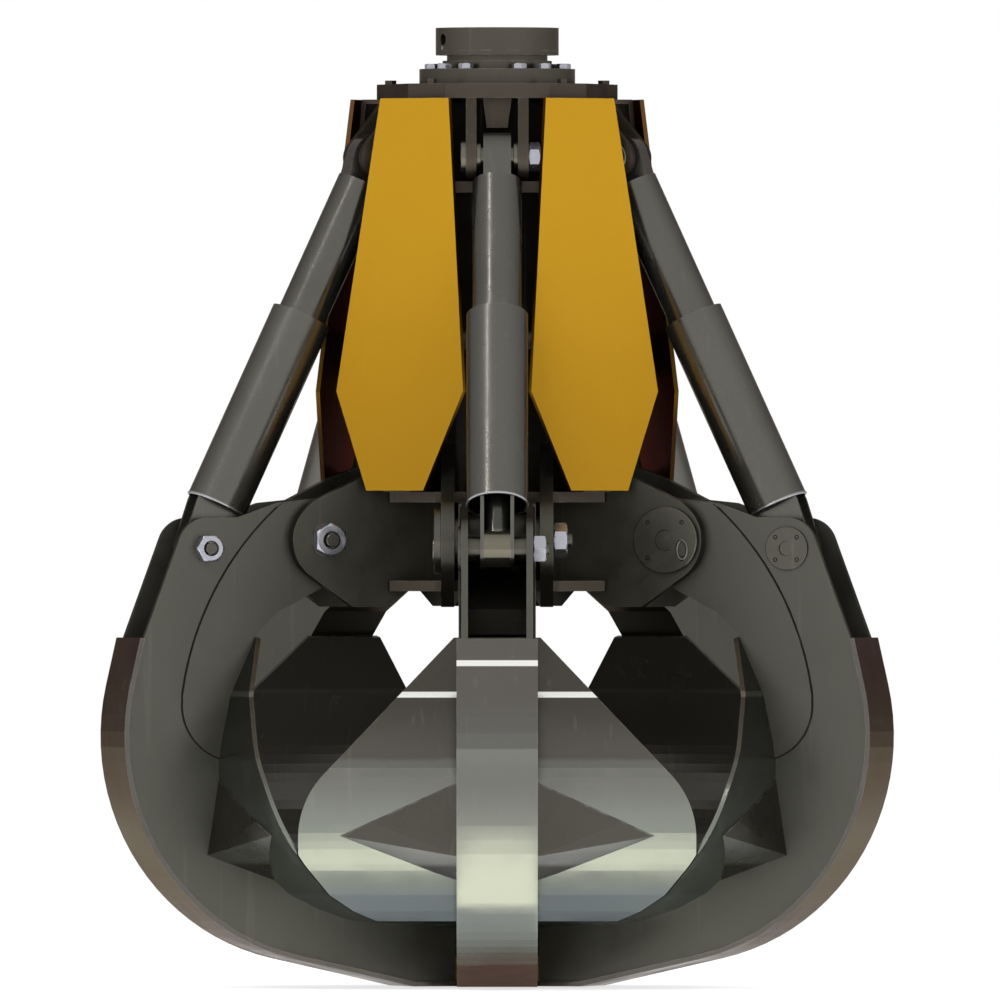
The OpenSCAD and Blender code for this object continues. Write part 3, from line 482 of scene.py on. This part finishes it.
# %% A turned or hexagonal piece
def turned(name, rings, sides=48):
    """Mesh spun round Z. A ring is (height, radius) or (height, radius, across flats)."""
    work = bmesh.new()
    rows = []
    for height, radius, *flats in rings:
        row = []
        for i in range(sides):
            angle = 2 * pi * i / sides
            reach = radius
            if flats:
                off = (angle + pi / 6) % (pi / 3) - pi / 6
                reach = min(radius, flats[0] / 2 / cos(off))
            row.append(work.verts.new((reach * cos(angle), reach * sin(angle), height)))
        rows.append(row)
    for low, high in zip(rows, rows[1:]):
        for i in range(sides):
            j = (i + 1) % sides
            work.faces.new((low[i], low[j], high[j], high[i]))
    work.faces.new(list(reversed(rows[0])))
    work.faces.new(rows[-1])
    for face in work.faces:
        face.smooth = len(face.verts) == 4
    mesh = bpy.data.meshes.new(name)
    work.to_mesh(mesh)
    work.free()
    mesh.set_sharp_from_angle(angle=radians(24))
    return mesh


def nut(name, flats, height, bore):
    """A hexagon nut that stands on z = 0, with its bore sunk round the bolt end."""
    face, corner = flats * 0.475, flats / 2 / cos(pi / 6)
    slope = (corner - face) * tan(radians(30))
    top = [(height - slope * f, face + (corner - face) * f + 0.0001, flats) for f in (1, 0.6, 0.3)]
    low = [(slope * f, face + (corner - face) * f + 0.0001, flats) for f in (0.3, 0.6, 1)]
    return turned(name, [(0, face)] + low + top + [
        (height, face), (height, bore + 0.0022), (height - 0.002, bore), (height * 0.5, bore)])


# %% [markdown]
# A piece is drawn once, and a small geometry tree sets it on a list of places. Each place
# is a point with its turn as an attribute. The tree ends in a real mesh with its finish,
# because a model for other programs can't hold the copies as links.

# %% Geometry tree: one piece on many places
place_tree = bpy.data.node_groups.new("set_on_places", "GeometryNodeTree")
for key, kind in (("Places", "Geometry"), ("Piece", "Object"), ("Finish", "Material")):
    place_tree.interface.new_socket(key, in_out="INPUT", socket_type="NodeSocket" + kind)
place_tree.interface.new_socket("Geometry", in_out="OUTPUT", socket_type="NodeSocketGeometry")
tree_in = add_node(place_tree, "NodeGroupInput").outputs
piece = add_node(place_tree, "GeometryNodeObjectInfo", {"Object": tree_in["Piece"]})
turn = add_node(place_tree, "GeometryNodeInputNamedAttribute", {"Name": "turn"},
                data_type="FLOAT_VECTOR").outputs["Attribute"]
laid = add_node(place_tree, "GeometryNodeInstanceOnPoints", {
    "Points": tree_in["Places"], "Instance": piece.outputs["Geometry"],
    "Rotation": add_node(place_tree, "FunctionNodeEulerToRotation", {0: turn}).outputs[0]})
real = add_node(place_tree, "GeometryNodeRealizeInstances", {"Geometry": laid.outputs[0]})
done = add_node(place_tree, "GeometryNodeSetMaterial", {
    "Geometry": real.outputs[0], "Material": tree_in["Finish"]})
tree_out = place_tree.nodes.new("NodeGroupOutput")
place_tree.links.new(done.outputs[0], tree_out.inputs[0])


def run_tree(name, mesh, tree, inputs):
    """The plain mesh that a geometry tree makes from a mesh, as an object at the origin."""
    base = bpy.data.objects.new(name + "_base", mesh)
    bpy.context.scene.collection.objects.link(base)
    modifier = base.modifiers.new(name, "NODES")
    modifier.node_group = tree
    for item in tree.interface.items_tree:
        if item.in_out == "INPUT" and item.name in inputs:
            modifier[item.identifier] = inputs[item.name]
    ready = base.evaluated_get(bpy.context.evaluated_depsgraph_get())
    result = bpy.data.objects.new(name, bpy.data.meshes.new_from_object(ready))
    bpy.context.scene.collection.objects.link(result)
    base.modifiers.clear()
    bpy.data.objects.remove(base)
    return result


def set_on(name, body, mesh, places, finish, node=None):
    """Sets a mesh on places, each (point, matrix), and lets it ride on a body."""
    points = bpy.data.meshes.new(name + "_places")
    points.from_pydata([p for p, _ in places], [], [])
    turns = points.attributes.new("turn", "FLOAT_VECTOR", "POINT")
    for item, (_, matrix) in zip(turns.data, places):
        item.vector = matrix.to_euler()
    model = bpy.data.objects.new(name + "_model", mesh)
    bpy.context.scene.collection.objects.link(model)
    made = run_tree(name, points, place_tree, {"Piece": model, "Finish": finish})
    bpy.data.objects.remove(model)
    if node:
        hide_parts(node)
    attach(made, body)
    return made


# %% Where the pins are
def radial(k):
    return Vector((sin(2 * pi * (k - 1) / 5), -cos(2 * pi * (k - 1) / 5), 0))


def along(k):
    return Vector((cos(2 * pi * (k - 1) / 5), sin(2 * pi * (k - 1) / 5), 0))


def pin_turn(k, spin=0.0):
    """Turns Z to lie along a tine's pins and X to point outwards."""
    x, z = radial(k), along(k)
    facing = Matrix((x, z.cross(x), z)).transposed()
    return facing @ Matrix.Rotation(radians(spin), 3, "Z")


hinge_r, hinge_z = 0.358, -0.9363
low_r, low_z = hinge_r + 0.218, hinge_z - 0.015
high_r, high_z = 0.238, -0.2383


def hinge_at(k, off=0.0):
    return radial(k) * hinge_r + along(k) * off + Vector((0, 0, hinge_z))


def low_at(k, off=0.0):
    return radial(k) * low_r + along(k) * off + Vector((0, 0, low_z))


def high_at(k, off=0.0):
    return radial(k) * high_r + along(k) * off + Vector((0, 0, high_z))


print("hinge pins on a circle of", round(2 * hinge_r, 3), "m")

# %% [markdown]
# A hinge pin is a stepped shaft with a wide cap on one side and a nut on the other. The
# cap has a dished centre and four countersunk screws that keep the pin from turning. The
# pins at the cylinder ends are smaller and made the same way.

# %% Hinge pins with caps and nuts
hinge_pin = turned("hinge_pin", [
    (-0.1112, 0.0180), (-0.1150, 0.0192), (-0.1150, 0.0594), (-0.1134, 0.0610),
    (-0.1030, 0.0610), (-0.1020, 0.0600), (-0.1020, 0.0300), (0.1020, 0.0300),
    (0.1020, 0.0130), (0.1352, 0.0130), (0.1368, 0.0114)], sides=72)
set_on("hinge_pin_shafts", "frame", hinge_pin, [(hinge_at(k), pin_turn(k)) for k in tines],
       pin_finish, "hinge_pins")
set_on("hinge_nuts", "frame", nut("hinge_nut", 0.055, 0.026, 0.0145),
       [(hinge_at(k, 0.102), pin_turn(k)) for k in tines], zinc_finish)

# %% Cylinder pins on the tines
lower_pin = turned("lower_pin", [
    (-0.0680, 0.0130), (-0.0710, 0.0141), (-0.0710, 0.0388), (-0.0698, 0.0400),
    (-0.0650, 0.0400), (-0.0650, 0.0220), (0.0650, 0.0220), (0.0650, 0.0110),
    (0.0925, 0.0110), (0.0940, 0.0096)], sides=64)
lower_nut = nut("lower_nut", 0.046, 0.024, 0.0122)
for k in tines:
    set_on(f"lower_pin_shaft_{k}", f"tine_{k}", lower_pin, [(low_at(k), pin_turn(k))],
           pin_finish, f"lower_pin_{k}")
    set_on(f"lower_nut_{k}", f"tine_{k}", lower_nut, [(low_at(k, 0.065), pin_turn(k, 30))],
           zinc_finish)

# %% Screws in the caps
cap_screw = turned("cap_screw", [
    (-0.0040, 0.0042), (-0.0004, 0.0042), (0.0, 0.0038), (0.0, 0.0024), (-0.0030, 0.0022)], 16)
corners = [(1, 1), (1, -1), (-1, 1), (-1, -1)]


def screws_round(centre, k, off):
    """Places of the four screws of a cap, at 45 degrees round its centre."""
    facing = Matrix((radial(k), along(k).cross(-radial(k)), -along(k))).transposed()
    return [(centre + radial(k) * (off * u) + Vector((0, 0, off * w)), facing)
            for u, w in corners]


face_proud = 0.0006
hinge_cap, hinge_screws, lower_cap, lower_screws = 0.115, 0.0325, 0.071, 0.0205
places = [p for k in tines
          for p in screws_round(hinge_at(k, -hinge_cap - face_proud), k, hinge_screws)]
set_on("hinge_cap_screws", "frame", cap_screw, places, bead_finish)
for k in tines:
    set_on(f"lower_cap_screws_{k}", f"tine_{k}", cap_screw,
           screws_round(low_at(k, -lower_cap - face_proud), k, lower_screws), bead_finish)

# %% Upper cylinder pins
upper_pin = turned("upper_pin", [
    (-0.0670, 0.0285), (-0.0655, 0.0300), (-0.0570, 0.0300), (-0.0570, 0.0200),
    (-0.0380, 0.0200), (-0.0380, 0.0262), (-0.0372, 0.0270), (-0.0303, 0.0270),
    (-0.0295, 0.0262), (-0.0295, 0.0200), (0.0295, 0.0200), (0.0295, 0.0262),
    (0.0303, 0.0270), (0.0372, 0.0270), (0.0380, 0.0262), (0.0380, 0.0200),
    (0.0570, 0.0200), (0.0570, 0.0130), (0.0775, 0.0130), (0.0785, 0.0120)], sides=64)
set_on("upper_pin_shafts", "frame", upper_pin, [(high_at(k), pin_turn(k)) for k in tines],
       eye_finish, "upper_pins")
set_on("upper_nuts", "frame", nut("upper_nut", 0.046, 0.022, 0.0145),
       [(high_at(k, 0.057), pin_turn(k)) for k in tines], zinc_finish)

# %% Screws of the flange
face, corner = 0.0114, 0.024 / 2 / cos(pi / 6)
flange_screw = turned("flange_screw", [
    (-0.0350, 0.0080), (0.0, 0.0080), (0.0, 0.0132), (0.0012, 0.0132),
    (0.0012, corner, 0.024), (0.0085, corner, 0.024), (0.0093, 0.0126, 0.024),
    (0.0100, face, 0.024)])
flange_top, screw_r = -0.0753, 0.121
angles = [radians(31.6 + 72 * i + side * 12.35) for i in range(5) for side in (-1, 1)]
places = [(Vector((screw_r * sin(a), -screw_r * cos(a), flange_top)),
           Matrix.Rotation(a, 3, "Z")) for a in angles]
set_on("flange_screws", "frame", flange_screw, places, zinc_finish, "flange_bolts")

# %% [markdown]
# Where plates meet, a welder lays a bead, and where a guard tube ends, a rolled ring
# stiffens it. Both are a round section that follows a line, so one geometry tree makes
# them: it rounds off a line into a curve, sweeps a circle along it and adds the ripple
# that the molten drops of a weld leave.

# %% Geometry tree: a bead along a line
bead_tree = bpy.data.node_groups.new("bead_along", "GeometryNodeTree")
for key, kind in (("Lines", "Geometry"), ("Radius", "Float"), ("Ripple", "Float"),
                  ("Step", "Float"), ("Finish", "Material")):
    bead_tree.interface.new_socket(key, in_out="INPUT", socket_type="NodeSocket" + kind)
bead_tree.interface.new_socket("Geometry", in_out="OUTPUT", socket_type="NodeSocketGeometry")
tree_in = add_node(bead_tree, "NodeGroupInput").outputs
curve = add_node(bead_tree, "GeometryNodeMeshToCurve", {"Mesh": tree_in["Lines"]})
even = add_node(bead_tree, "GeometryNodeResampleCurve", {
    "Curve": curve.outputs[0], "Length": tree_in["Step"]}, mode="LENGTH")
ripple = add_node(bead_tree, "ShaderNodeTexNoise", {
    "Vector": add_node(bead_tree, "GeometryNodeInputPosition").outputs[0],
    "Scale": 190.0, "Detail": 1.0})
swell = math_node(bead_tree, "MULTIPLY_ADD", ripple.outputs["Fac"], tree_in["Ripple"])
bead_tree.links.new(tree_in["Radius"], swell.node.inputs[2])
sized = add_node(bead_tree, "GeometryNodeSetCurveRadius", {"Curve": even.outputs[0],
                                                           "Radius": swell})
section = add_node(bead_tree, "GeometryNodeCurvePrimitiveCircle", {"Resolution": 8, "Radius": 1.0})
swept = add_node(bead_tree, "GeometryNodeCurveToMesh", {
    "Curve": sized.outputs[0], "Profile Curve": section.outputs["Curve"], "Fill Caps": True})
if "Scale" in swept.inputs:
    bead_tree.links.new(swell, swept.inputs["Scale"])
soft = add_node(bead_tree, "GeometryNodeSetShadeSmooth", {"Geometry": swept.outputs[0]})
done = add_node(bead_tree, "GeometryNodeSetMaterial", {
    "Geometry": soft.outputs[0], "Material": tree_in["Finish"]})
tree_out = bead_tree.nodes.new("NodeGroupOutput")
bead_tree.links.new(done.outputs[0], tree_out.inputs[0])


def bead(name, body, lines, radius, finish, ripple=0.0, step=0.004):
    """Beads along lines of points. A line that ends where it starts becomes a ring."""
    points, edges = [], []
    for line in lines:
        start, closed = len(points), (line[0] - line[-1]).length < 1e-6
        line = line[:-1] if closed else line
        points += line
        edges += [(start + i, start + i + 1) for i in range(len(line) - 1)]
        if closed:
            edges.append((start + len(line) - 1, start))
    mesh = bpy.data.meshes.new(name + "_lines")
    mesh.from_pydata(points, edges, [])
    made = run_tree(name, mesh, bead_tree, {"Radius": radius, "Ripple": ripple,
                                            "Step": step, "Finish": finish})
    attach(made, body)
    return made


# %% Rings at the lower end of the guard tubes, pale as a painted highlight
lean = radians(25.363)
sleeve_low, rim_r, rim_thick = 0.088, 0.0545, 0.0030
for k in tines:
    axis = Vector((0, 0, cos(lean))) - radial(k) * sin(lean)
    side = along(k)
    other = axis.cross(side)
    ring = [low_at(k) + axis * sleeve_low + (side * cos(a) + other * sin(a)) * rim_r
            for a in (2 * pi * i / 72 for i in range(73))]
    bead(f"tube_rim_{k}", f"rod_{k}", [ring], rim_thick, rim_highlight_finish)

# %% Oval rings on the hinge caps, a painted reflection
glint_rings = []
glint_side, glint_out, glint_down = 0.1152, 0.033, 0.0178
half_width, half_height, glint_thick = 0.0095, 0.0175, 0.0026
for k in tines:
    centre = hinge_at(k, -glint_side) + radial(k) * glint_out - Vector((0, 0, glint_down))
    glint_rings.append([
        centre + radial(k) * (half_width * cos(a)) + Vector((0, 0, half_height * sin(a)))
        for a in (2 * pi * i / 40 for i in range(41))])
bead("cap_keepers", "frame", glint_rings, glint_thick, eye_finish, step=0.002)

# %% Weld beads round the doublers
web_out, weld_proud, weld_thick = 0.065, 0.0008, 0.0020


def arc(centre, radius, start, end, steps=40):
    """Points of an arc on a tine's plane, as distances out and up from the hinge pin."""
    return [(centre[0] + radius * cos(radians(start + (end - start) * i / steps)),
             centre[1] + radius * sin(radians(start + (end - start) * i / steps)))
            for i in range(steps + 1)]


doubler_edge = arc((-0.291, -0.358), 0.562, 48, 7.6) + arc((0.165, -0.300), 0.101, 5, -74)
for k in tines:
    lines = [[hinge_at(k, side * (web_out + weld_proud)) + radial(k) * x + Vector((0, 0, z))
              for x, z in doubler_edge] for side in (-1, 1)]
    bead(f"doubler_weld_{k}", f"tine_{k}", lines, weld_thick, bead_finish, ripple=0.0008)

# %% [markdown]
# The floor is a plain pale sheet just under the tips. The background is white because
# camera and mirror rays see white there, so the lamps can stay at a plain level. Large
# soft lamps stand at the front, above and behind. They don't show as bright patches in
# the metal: only one tall strip does, which draws the thin line down the cylinders.

# %% Floor, world and lamps
floor_size, floor_z = 40.0, cad_low.z - 0.004
floor_shade, floor_glow = 0.82, 0.70
floor_mesh = bpy.data.meshes.new("floor")
floor_mesh.from_pydata([(sx * floor_size, sy * floor_size, floor_z)
                        for sx, sy in ((-1, -1), (1, -1), (1, 1), (-1, 1))], [], [(0, 1, 2, 3)])
floor = bpy.data.objects.new("floor", floor_mesh)
bpy.context.scene.collection.objects.link(floor)
floor_material = bpy.data.materials.new("floor_white")
floor_material.use_nodes = True
tree = floor_material.node_tree
sheet = tree.nodes["Principled BSDF"]
sheet.inputs["Base Color"].default_value = (floor_shade, floor_shade, floor_shade, 1)
sheet.inputs["Roughness"].default_value = 0.9
sheet.inputs["Specular IOR Level"].default_value = 0.0
paths = add_node(tree, "ShaderNodeLightPath").outputs
seen = math_node(tree, "MAXIMUM", paths["Is Camera Ray"],
                 math_node(tree, "MAXIMUM", paths["Is Glossy Ray"], paths["Is Transmission Ray"]))
tree.links.new(math_node(tree, "MULTIPLY", seen, floor_glow), sheet.inputs["Emission Strength"])
sheet.inputs["Emission Color"].default_value = (1, 1, 1, 1)
floor_mesh.materials.append(floor_material)

world = bpy.data.worlds.new("studio")
world.use_nodes = True
bpy.context.scene.world = world
tree = world.node_tree
background = tree.nodes["Background"]
paths = add_node(tree, "ShaderNodeLightPath").outputs
ambient, side_level, sideways = 0.40, 0.52, -0.05
aim = add_node(tree, "ShaderNodeSeparateXYZ", {
    0: add_node(tree, "ShaderNodeTexCoord").outputs["Generated"]}).outputs
ahead = add_node(tree, "ShaderNodeMapRange", {
    "Value": math_node(tree, "MULTIPLY_ADD", aim["X"], sideways), "From Min": 0.6,
    "From Max": -0.9, "To Min": side_level, "To Max": 1.0}, interpolation_type="SMOOTHSTEP")
tree.links.new(aim["Y"], ahead.inputs["Value"].links[0].from_node.inputs[2])
mirrored = math_node(tree, "MULTIPLY", ahead.outputs["Result"], paths["Is Glossy Ray"])
clear = math_node(tree, "MAXIMUM", paths["Is Camera Ray"], paths["Is Transmission Ray"])
seen = math_node(tree, "MAXIMUM", mirrored, clear)
tree.links.new(math_node(tree, "MAXIMUM", seen, ambient), background.inputs["Strength"])
background.inputs["Color"].default_value = (1, 1, 1, 1)


def soft_lamp(name, place, target, width, height, watts, in_mirrors=False):
    data = bpy.data.lights.new(name, "AREA")
    data.shape, data.size, data.size_y, data.energy = "RECTANGLE", width, height, watts
    lamp = bpy.data.objects.new(name, data)
    lamp.location = place
    lamp.rotation_euler = (Vector(target) - Vector(place)).to_track_quat("-Z", "Y").to_euler()
    lamp.visible_camera = False
    lamp.visible_glossy = in_mirrors
    bpy.context.scene.collection.objects.link(lamp)
    return lamp


middle = (0, 0, -0.85)
soft_lamp("key", (-3.2, -6.0, 2.6), middle, 3.5, 3.5, 215)
soft_lamp("fill", (4.2, -5.0, 0.6), middle, 3.5, 3.5, 125)
soft_lamp("back", (0.5, 5.5, 2.5), middle, 3.5, 3.0, 110)
strip_aim, strip_away = Vector((-0.505, -0.493, 0.708)), 6.0
strip = soft_lamp("strip", Vector(middle) + strip_aim * strip_away, middle,
                  0.10, 2.2, 30, in_mirrors=True)
strip.visible_diffuse = strip.visible_transmission = False

# %% [markdown]
# A photographer lays white cards on the floor so that a curved metal side mirrors them as
# a soft band of light. Here one card lies under the front band and one under each half of
# the leaf, each with a dimmer card beyond it, which makes the upper end of the band fade.

# %% Bounce cards under the front tine
card_z, card_colour = floor_z + 0.002, (1.0, 0.99, 0.82)
full, dim = 1.9, 1.15
cards = [(-0.073, 0.073, -0.82, -0.585, full), (-0.073, 0.073, -0.95, -0.82, dim)]
for x0, x1 in ((0.08, 0.38), (-0.38, -0.08)):
    cards += [(x0, x1, -0.59, -0.452, full), (x0, x1, -0.70, -0.59, dim)]
for x0, x1, y0, y1, glow in cards:
    place = Vector(((x0 + x1) / 2, (y0 + y1) / 2, card_z))
    card = soft_lamp("card", place, place + Vector((0, 0, 1)), x1 - x0, y1 - y0,
                     glow * pi * (x1 - x0) * (y1 - y0), in_mirrors=True)
    card.rotation_euler = (pi, 0, 0)
    card.visible_diffuse = card.visible_transmission = False
    card.data.color = card_colour
